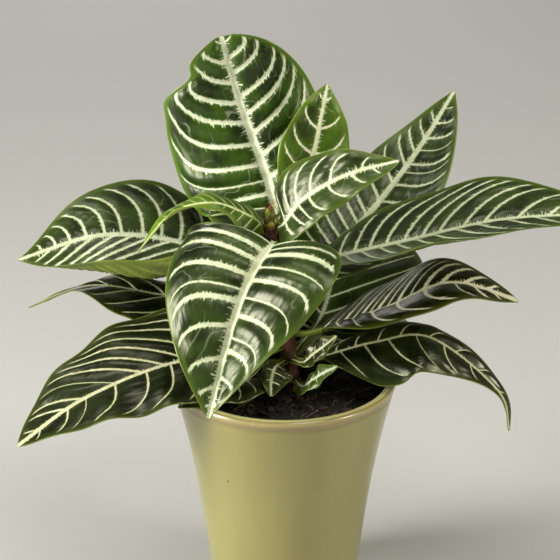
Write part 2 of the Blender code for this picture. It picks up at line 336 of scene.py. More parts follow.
def potProfile():
    top = pot["height"]
    groove = top - pot["lipHeight"]
    bulge = flare(groove) + pot["lipBulge"]
    mouth = pot["mouthRadius"]
    lip = [
        (mouth + 1.6, top), (mouth + 3.2, top - 0.05), (bulge - 1.6, top - 0.3), (bulge - 0.8, top - 0.75),
        (bulge - 0.3, top - 1.4), (bulge - 0.05, top - 2.2), (bulge, top - 3), (bulge - 0.1, top - 3.9),
        (bulge - 0.4, top - 4.8), (bulge - 0.95, top - 5.6), (flare(groove) - 0.6, groove),
        (flare(groove) - 0.75, groove - 0.7), (flare(groove) - 0.55, groove - 1.5),
    ]
    side = [(flare(height), height) for height in np.linspace(141, 3.5, 40)]
    foot = [(flare(0) - 0.15, 2), (flare(0) - 0.6, 0.9), (flare(0) - 1.3, 0.3), (flare(0) - 2.2, 0), (0, 0)]
    floor = pot["floorThickness"]
    inner = [(0, floor), (flare(floor) - pot["wall"] - 3, floor), (flare(floor) - pot["wall"], floor + 3)]
    inner += [(flare(height) - pot["wall"], height) for height in np.linspace(20, 138, 16)]
    inner += [(mouth - 0.6, 143), (mouth - 0.15, 146), (mouth, top - 1.6), (mouth + 0.35, top - 0.7)]
    inner += [(mouth + 0.9, top - 0.2), (mouth + 1.6, top)]
    return lip + side + foot + inner


def underLip(place):
    # how many millimetres a place lies under the pot's top
    return times(minus(pot["height"] * mm, split(place)["Z"]), 1 / mm)


def glazeMaterial():
    skin, shader, place = newMaterial("oliveGlaze", 0.3)
    place = stretch(place, (1, 1, 1), (0.37, 0.41, 0))
    cloudy = grain(stretch(place, (1, 1, 0.4)), 22, 4)
    fine = grain(place, 420, 2)
    body = mixColour(cloudy, pot["glazeLight"], pot["glazeDark"])
    body = mixColour(between(fine, 0.45, 0.75, 0, 0.25), body, pot["glazeFleck"])
    # a dark speck in a few of the cells
    cells = addNode("ShaderNodeTexVoronoi", {"Vector": place, "Scale": 95}).outputs
    dots = between(cells["Distance"], 0.05, 0.1, 1, 0)
    chance = addNode("ShaderNodeSeparateColor", {0: cells["Color"]}).outputs[0]
    body = tinted(body, dots, between(chance, 0.93, 0.96), pot["speck"])
    # a painted highlight lightens the lip's crest, and painted shade darkens the groove below it
    under = underLip(place)
    crestHighlight = times(between(under, 0.4, 1.6), between(under, 2.2, 3.4, 1, 0))
    lip = between(under, 5.6, 7.8, 1, 0)
    groove = times(between(under, 5.4, 7.2), between(under, 7.4, 9.2, 1, 0))
    body = tinted(body, crestHighlight, 0.5, pot["crestHighlight"])
    body = tinted(body, lip, 0.45, pot["lip"])
    body = tinted(body, groove, 0.3, pot["groove"])
    # the lip is rubbed smoother than the body
    satin = between(cloudy, 0.3, 0.7, 0.3, 0.4)
    paint(shader, body, minus(satin, times(lip, 0.12)))
    shader.inputs["Coat Weight"].default_value = 0.6
    shader.inputs["Coat Roughness"].default_value = 0.2
    waves = grain(stretch(place, (1, 1, 0.5)), 55, 2)
    bump(shader, plus(waves, times(fine, 0.12)), 0.12, 2 * mm)
    return skin


def insideMaterial():
    # inside, the wall is dark below a ragged line just under the lip
    skin, shader, place = newMaterial("stainedInside", 0.6)
    ragged = times(grain(place, 90, 4), 2.4)
    darkened = between(minus(underLip(place), ragged), 0.2, 1.2)
    darkTone = mixColour(grain(place, 140, 4, 0.6), pot["insideDarkDeep"], pot["insideDarkPale"])
    body = mixColour(darkened, pot["inside"], darkTone)
    paint(shader, body, between(darkened, 0, 1, 0.3, 0.85))
    return skin


def makePot():
    made = turned("glazedPot", potProfile(), pot["steps"])
    made.data.materials.append(glazeMaterial())
    made.data.materials.append(insideMaterial())
    for face in made.data.polygons:
        across = math.hypot(face.center.x, face.center.y) / mm
        height = face.center.z / mm
        isInner = across < flare(height) - pot["wall"] / 2 and height > pot["floorThickness"] / 2
        face.material_index = int(isInner)
    settle(made, "pot", "pot")
    print("pot: turned and glazed")


# Soil, with crumbs, bark and root fibres on it

soil = {
    "level": 138, "dome": 1.5, "edgeGap": 0.1, "lump": 1.6, "lumpWidth": 14, "fineLumpWidth": 3.1,
    "calmFrom": 0.93, "rings": 60, "steps": 150, "foot": 8.4, "dark": (6, 4, 3), "light": (30, 19, 13),
    "crumbs": 2600, "crumbSize": 1.1, "crumbLight": (34, 21, 15),
    "bark": 70, "barkLength": 9, "barkDark": (22, 10, 6), "barkLight": (78, 43, 28),
    "fibres": 70, "fibreLength": 13, "fibreThickness": 0.14,
    "fibreDark": (88, 58, 36), "fibreLight": (176, 150, 112),
}


def soilEdge():
    return flare(soil["level"]) - pot["wall"]


def soilTop(x, y):
    # the height of the soil's lumpy top at a place, in millimetres; it lies calm along the wall
    ring = min(math.hypot(x, y) / soilEdge(), 1)
    place = Vector((x, y, 0))
    lumps = noise.fractal(place / soil["lumpWidth"], 0.7, 2.1, 3)
    lumps += 0.45 * noise.noise(place / soil["fineLumpWidth"])
    calm = 1 - max(0, (ring - soil["calmFrom"]) / (1 - soil["calmFrom"]))
    return soil["level"] - 1 + soil["dome"] * (1 - ring**2) + soil["lump"] * lumps * calm


def makeSoilBed():
    edge = soilEdge() - soil["edgeGap"]
    top = [(edge * k / soil["rings"], 0) for k in range(soil["rings"] + 1)]
    side = [(flare(height) - pot["wall"] - soil["edgeGap"], height) for height in (125, 100, 70, 40, 11.5)]
    foot = [(flare(pot["floorThickness"]) - pot["wall"] - 3, soil["foot"]), (0, soil["foot"])]
    made = turned("soilBed", top + side + foot, soil["steps"])
    for vertex in made.data.vertices:
        if abs(vertex.co.z) < mm:
            vertex.co.z = soilTop(vertex.co.x / mm, vertex.co.y / mm) * mm
    made.data.materials.append(soilMaterial())
    return made


def soilMaterial():
    skin, shader, place = newMaterial("dampSoil", 0.95)
    patches = grain(place, 160, 5, 0.65)
    body = mixColour(between(patches, 0.35, 0.65), soil["dark"], soil["light"])
    paint(shader, body, between(patches, 0.3, 0.7, 0.75, 1.0))
    bump(shader, grain(place, 900, 6, 0.7), 0.8, 0.8 * mm)
    return skin


def chipMaterial(name, dark, light, scale):
    # crumbs, bark and fibres: streaked, each bit a little different from the next
    skin, shader, place = newMaterial(name, 0.85)
    tone = grain(place, scale, 3, 0.6)
    streak = grain(stretch(place, (1, 1, 5)), scale * 4, 4)
    mixed = plus(times(tone, 0.65), times(streak, 0.35))
    paint(shader, mixColour(between(mixed, 0.36, 0.66), dark, light))
    bump(shader, streak, 0.5, 0.4 * mm)
    return skin


def newShapeTree(name, **inputs):
    # a tree that takes a mesh and its own named inputs, and puts out a mesh
    return newGroup(name, "GeometryNodeTree", {"Geometry": "Geometry", **inputs}, {"Geometry": "Geometry"})


def closeTree(exits, instances, skin):
    # real faces with their material, because the export drops instances
    real = addNode("GeometryNodeRealizeInstances", {"Geometry": instances})
    painted = addNode("GeometryNodeSetMaterial", {"Geometry": real.outputs[0], "Material": skin})
    feed(exits["Geometry"], painted.outputs[0])


def moved(geometry, offset):
    return addNode("GeometryNodeSetPosition", {"Geometry": geometry, "Offset": offset}).outputs[0]


def randomVector(tree, low, high, seed):
    inputs = {0: low, 1: high, "Seed": seed}
    return addNode("FunctionNodeRandomValue", inputs, tree, data_type="FLOAT_VECTOR").outputs[0]


def spread(tree, entry, low, high, tilt, lift):
    # points a small lift out of the ground, each with a random turn and a random size
    chosen = {"Mesh": entry["Geometry"], "Density": entry["Density"], "Seed": entry["Seed"]}
    ground = addNode("GeometryNodeDistributePointsOnFaces", chosen, distribute_method="RANDOM")
    fullTurn = 6.283  # in radians
    turn = randomVector(tree, (-tilt, -tilt, 0), (tilt, tilt, fullTurn), 3)
    size = randomVector(tree, low, high, 7)
    return moved(ground.outputs["Points"], (0, 0, lift * mm)), turn, size


def placeBits(exits, spots, bit, skin):
    points, turn, size = spots
    inputs = {"Points": points, "Instance": bit, "Rotation": turn, "Scale": size}
    closeTree(exits, addNode("GeometryNodeInstanceOnPoints", inputs).outputs[0], skin)


def roughened(mesh, amount, scale):
    # pushes a bit's own points about, so that it isn't a plain ball or box
    wander = addNode("ShaderNodeTexNoise", {"Scale": scale}, mesh.id_data).outputs["Color"]
    centred = vectorMath("SUBTRACT", {0: wander, 1: (0.5, 0.5, 0.5)})
    return moved(mesh, vectorMath("SCALE", {0: centred, "Scale": amount * mm}))


def crumbTree(skin):
    tree, entry, exits = newShapeTree("soilCrumbs", Density="Float", Size="Float", Seed="Int")
    spots = spread(tree, entry, (0.4, 0.4, 0.3), (1.7, 1.5, 1.1), 0.6, 0.2)
    ball = addNode("GeometryNodeMeshIcoSphere", {"Radius": entry["Size"], "Subdivisions": 1})
    placeBits(exits, spots, roughened(ball.outputs[0], 0.9, 1200), skin)
    return tree


def barkTree(skin):
    tree, entry, exits = newShapeTree("barkChips", Density="Float", Length="Float", Seed="Int")
    spots = spread(tree, entry, (0.35, 0.3, 0.5), (1.35, 1.2, 1.6), 0.35, 0.6)
    length = entry["Length"]
    shape = vectorOf(length, times(length, 0.34), times(length, 0.12))
    block = addNode("GeometryNodeMeshCube", {0: shape, 1: 6, 2: 3, 3: 2})
    placeBits(exits, spots, roughened(block.outputs[0], 2.4, 260), skin)
    return tree


def fibreTree(skin):
    sizes = {"Density": "Float", "Length": "Float", "Thickness": "Float"}
    tree, entry, exits = newShapeTree("rootFibres", **sizes, Seed="Int")
    spots = spread(tree, entry, (0.4, 0.4, 0.4), (1.3, 1.5, 1.4), 0.5, 0.4)
    half = times(entry["Length"], 0.5)
    bow = times(entry["Length"], 0.32)
    line = addNode("GeometryNodeCurveQuadraticBezier", {
        "Resolution": 9, "Start": vectorOf(times(half, -1.0)),
        "Middle": vectorOf(0, bow, times(bow, 0.8)), "End": vectorOf(half),
    })
    ring = addNode("GeometryNodeCurvePrimitiveCircle", {"Resolution": 5, "Radius": entry["Thickness"]})
    strand = addNode("GeometryNodeCurveToMesh", {
        "Curve": line.outputs[0], "Profile Curve": ring.outputs[0], "Fill Caps": True,
    })
    placeBits(exits, spots, strand.outputs[0], skin)
    return tree


def runTree(name, ground, tree, values):
    # puts the tree on a copy of the ground and keeps what it makes as a plain mesh
    made = newObject(name, ground.copy())
    modifier = made.modifiers.new(name, "NODES")
    modifier.node_group = tree
    for socketName, value in values.items():
        modifier[tree.interface.items_tree[socketName].identifier] = value
    return finished(made)


def scatterGround():
    # the part of the soil's top that bits lie on, as an open sheet
    edge = soilEdge() - 3
    form = newGrid(40, 40, edge)
    outside = [vertex for vertex in form.verts if math.hypot(vertex.co.x, vertex.co.y) > edge]
    bmesh.ops.delete(form, geom=outside, context="VERTS")
    for vertex in form.verts:
        vertex.co = Vector((vertex.co.x, vertex.co.y, soilTop(vertex.co.x, vertex.co.y))) * mm
    return meshFrom(form, "scatterGround")


def makeSoil():
    settle(makeSoilBed(), "soil", "soil")
    ground = scatterGround()
    area = math.pi * (flare(soil["level"]) * mm) ** 2
    crumbSkin = chipMaterial("crumbs", soil["dark"], soil["crumbLight"], 500)
    barkSkin = chipMaterial("bark", soil["barkDark"], soil["barkLight"], 300)
    fibreSkin = chipMaterial("fibre", soil["fibreDark"], soil["fibreLight"], 260)
    fibre = {"Length": soil["fibreLength"] * mm, "Thickness": soil["fibreThickness"] * mm, "Seed": 23}
    bits = {
        "soilCrumbs": (crumbTree(crumbSkin), soil["crumbs"], {"Size": soil["crumbSize"] * mm, "Seed": 11}),
        "barkChips": (barkTree(barkSkin), soil["bark"], {"Length": soil["barkLength"] * mm, "Seed": 5}),
        "rootFibres": (fibreTree(fibreSkin), soil["fibres"], fibre),
    }
    for name, (tree, count, values) in bits.items():
        settle(runTree(name, ground, tree, {"Density": count / area, **values}), "soil")
    bpy.data.meshes.remove(ground)
    print("soil: bed, crumbs, bark and fibres")


# Stem and growing tip

stem = {
    "way": [(5, 2, 108.5), (4.4, 1.4, 138), (3, 1, 160), (0, 0, 195), (-6, -2, 235), (-8, -3, 250)],
    "footRadius": 5.2, "topRadius": 3.8, "joints": (150, 163, 180, 206, 228, 244), "jointHeight": 2.4,
    "jointSwell": 0.16, "thinFrom": 234, "thinTo": 246, "thinBy": 0.45, "rings": 130, "sides": 28,
    "barkDark": (44, 22, 14), "barkLight": (98, 54, 34),
    "youngRed": (92, 34, 24), "youngGreen": (104, 112, 44),
}


def stemCentre(height):
    way, _ = smoothWay(stem["way"])
    return np.array([np.interp(height, way[:, 2], way[:, axis]) for axis in range(3)])


def stemRadius(height):
    foot, top = stem["way"][0][2], stem["way"][-1][2]
    return stem["footRadius"] + (stem["topRadius"] - stem["footRadius"]) * (height - foot) / (top - foot)


def stemMaterial():
    skin, shader, place = newMaterial("stemBark", 0.5)
    streaks = grain(stretch(place, (1, 1, 0.12)), 900, 4, 0.6)
    patches = grain(place, 120, 3)
    old = mixColour(between(streaks, 0.35, 0.65), stem["barkDark"], stem["barkLight"])
    fresh = mixColour(between(patches, 0.4, 0.62), stem["youngRed"], stem["youngGreen"])
    young = between(split(place)["Z"], 205 * mm, 250 * mm)
    paint(shader, mixColour(young, old, fresh))
    bump(shader, streaks, 0.5, 0.6 * mm)
    return skin


def makeStem():
    way, reach = smoothWay(stem["way"])
    middles = atDistance(way, reach, np.linspace(0, reach[-1], stem["rings"]))
    curve = bpy.data.curves.new("stemTube", "CURVE")
    curve.dimensions = "3D"
    curve.bevel_depth = mm
    curve.bevel_resolution = stem["sides"] // 4
    curve.use_fill_caps = True
    line = curve.splines.new("POLY")
    line.points.add(len(middles) - 1)
    for point, place in zip(line.points, middles):
        near = sum(math.exp(-(((place[2] - joint) / stem["jointHeight"]) ** 2)) for joint in stem["joints"])
        thin = 1 - stem["thinBy"] * fade(place[2], stem["thinFrom"], stem["thinTo"])
        point.co = (*(Vector(place) * mm), 1)
        point.radius = stemRadius(place[2]) * (1 + stem["jointSwell"] * near) * thin
    made = finished(newObject("stemTube", curve))
    made.data.materials.append(stemMaterial())
    made.data.shade_smooth()
    settle(made, "stem", "stem")
    print("stem: swollen at each pair of leaves")


bud = {
    "below": 14, "length": 19, "bracts": 22, "bractLength": 10.5, "bractWidth": 4.0, "thickness": 0.5,
    "turn": 67, "footScale": 1.9, "tipScale": 0.85, "footLean": 0.3, "tipLean": 0.02,
    "coreFoot": 2.4, "coreTip": 0.4, "coreLength": 16, "coreMiddle": 13.5,
    "rustDark": (58, 28, 14), "rustLight": (120, 70, 38),
    "greenDark": (92, 90, 26), "greenLight": (140, 142, 48), "tip": (124, 70, 40),
}


def bractMesh():
    # one pointed, cupped scale, growing along +Z with its back to +X
    form = newGrid(6, 10, 1)
    for vertex in form.verts:
        side, share = vertex.co.x, (vertex.co.y + 1) / 2
        half = bud["bractWidth"] / 2 * (0.55 + 0.9 * share) * (1 - share) ** 0.62
        cup = math.radians(62) * side
        x = half * math.cos(cup) + 1.5 * math.sin(math.pi * share * 0.8) - 0.6 * share
        vertex.co = Vector((x, half * math.sin(cup) * 1.5, bud["bractLength"] * share)) * mm
    return meshFrom(form, "bract")


def bractMaterial():
    # rust-brown scales at the foot, green ones above them, and a reddish tip
    skin, shader, place = newMaterial("bractSkin", 0.42)
    patches = grain(place, 420, 3)
    height = plus(split(place)["Z"], times(minus(patches, 0.5), 8 * mm))
    tone = readNumbers(place.id_data, "tone", "Fac")
    mixed = between(plus(times(tone, 0.6), times(patches, 0.4)), 0.3, 0.66)
    rusty = mixColour(mixed, bud["rustDark"], bud["rustLight"])
    green = mixColour(mixed, bud["greenDark"], bud["greenLight"])
    body = mixColour(between(height, 247.5 * mm, 251.5 * mm), rusty, green)
    paint(shader, mixColour(between(height, 257.5 * mm, 259.5 * mm), body, bud["tip"]))
    bump(shader, grain(stretch(place, (1, 1, 0.2)), 1500, 3), 0.4, 0.3 * mm)
    return skin


def bractTree(skin, bract):
    # scales in crossed pairs up the growing tip, each pair smaller and more upright than the last
    tree, entry, exits = newShapeTree("budBracts", Count="Int", Length="Float", Turn="Float")
    index = addNode("GeometryNodeInputIndex", tree=tree).outputs[0]
    share = calc("DIVIDE", index, entry["Count"])
    pair = calc("FLOOR", calc("DIVIDE", index, 2.0))
    odd = calc("MODULO", index, 2.0)
    turn = plus(times(pair, entry["Turn"]), times(odd, math.pi))
    lean = minus(bud["footLean"], times(share, bud["footLean"] - bud["tipLean"]))
    wide = minus(bud["footScale"], times(share, bud["footScale"] - bud["tipScale"]))
    tall = minus(1.0, times(share, 0.3))
    column = addNode("GeometryNodeMeshLine", {"Count": entry["Count"], "Offset": (0, 0, 0)})
    points = moved(column.outputs[0], vectorOf(z=times(share, entry["Length"])))
    shape = addNode("GeometryNodeObjectInfo", {"Object": bract}, tree).outputs["Geometry"]
    placed = addNode("GeometryNodeInstanceOnPoints", {
        "Points": points, "Instance": shape, "Rotation": vectorOf(0, lean, turn),
        "Scale": vectorOf(wide, wide, tall),
    })
    # each scale has a tone of its own for the material to read
    tone = addNode("FunctionNodeRandomValue", {"Seed": 4}, tree, data_type="FLOAT").outputs[1]
    kept = {"Geometry": placed.outputs[0], "Name": "tone", "Value": tone}
    toned = addNode("GeometryNodeStoreNamedAttribute", kept, data_type="FLOAT", domain="INSTANCE")
    whole = addNode("GeometryNodeJoinGeometry", tree=tree)
    feed(whole.inputs[0], toned.outputs[0])
    feed(whole.inputs[0], entry["Geometry"])
    closeTree(exits, whole.outputs[0], skin)
    return tree


def budCore():
    # stands inside the bracts, from near their foot to just under the tip
    form = bmesh.new()
    bmesh.ops.create_cone(
        form, cap_ends=True, segments=16, radius1=bud["coreFoot"] * mm, radius2=bud["coreTip"] * mm,
        depth=bud["coreLength"] * mm, matrix=Matrix.Translation((0, 0, bud["coreMiddle"] * mm)),
    )
    return meshFrom(form, "budCore")


def makeBud():
    bract = newObject("bractShape", bractMesh())
    shell = bract.modifiers.new("thickness", "SOLIDIFY")
    shell.thickness = bud["thickness"] * mm
    shell.offset = 0
    bract = finished(bract)
    made = runTree("budBracts", budCore(), bractTree(bractMaterial(), bract), {
        "Count": bud["bracts"], "Length": bud["length"] * mm, "Turn": math.radians(bud["turn"]),
    })
    bpy.data.objects.remove(bract, do_unlink=True)
    # the tip goes on in the way that the stem's last stretch leans
    top, below = (Vector(stem["way"][k]) for k in (-1, -2))
    lean = (top - below).normalized()
    turn = Vector((0, 0, 1)).rotation_difference(lean).to_matrix().to_4x4()
    made.data.transform(Matrix.Translation((top - lean * bud["below"]) * mm) @ turn)
    made.data.shade_smooth()
    settle(made, "bud", "bud")
    print("bud: crossed pairs of bracts")


# Leaves

# What a leaf has unless its own entry says otherwise. Angles are in degrees. Height and heading say where on
# the stem the stalk starts, way is the midrib's route, faces are where the upper face looks at its base and
# at its tip, and halves are how wide each half gets. Fold lifts each half from the midrib, curl bends it on
# the way to the margin, outline shapes the half width from base to tip, and wave is the margin's height, the
# number of waves and where they start. A pair is for the left and the right half, looking from base to tip
# at the upper face. Veins lists the millimetres from the blade's base where side veins leave the midrib, and
# faint those of them that are thin. Sweep is how many millimetres a vein runs towards the tip for each one
# of width, at the base and at the tip, then how far it turns along the margin and how late. A taper is what
# a width is multiplied by at the base and at the tip. Quilt is how high the blade swells between its veins.
# Dents are hollows in the margin: the half, how far along the blade, how deep and how wide. Roll turns one
# half's margin up: the half, the degrees, from which share of the width on, and between which places.
usualLeaf = {
    "stalk": 14, "fold": 10, "curl": -20, "outline": (0.6, 0.95), "wave": (1.5, 2.6, 0.2),
    "veins": None, "faint": (), "sweep": (0, 0.5, 0.5, 4), "veinPitch": 13, "look": "mature", "quilt": 1.4,
    "veinWidth": 1.8, "veinTaper": (1, 1), "ribWidth": 4.6, "ribTaper": (1, 0.4), "dents": (), "roll": None,
}

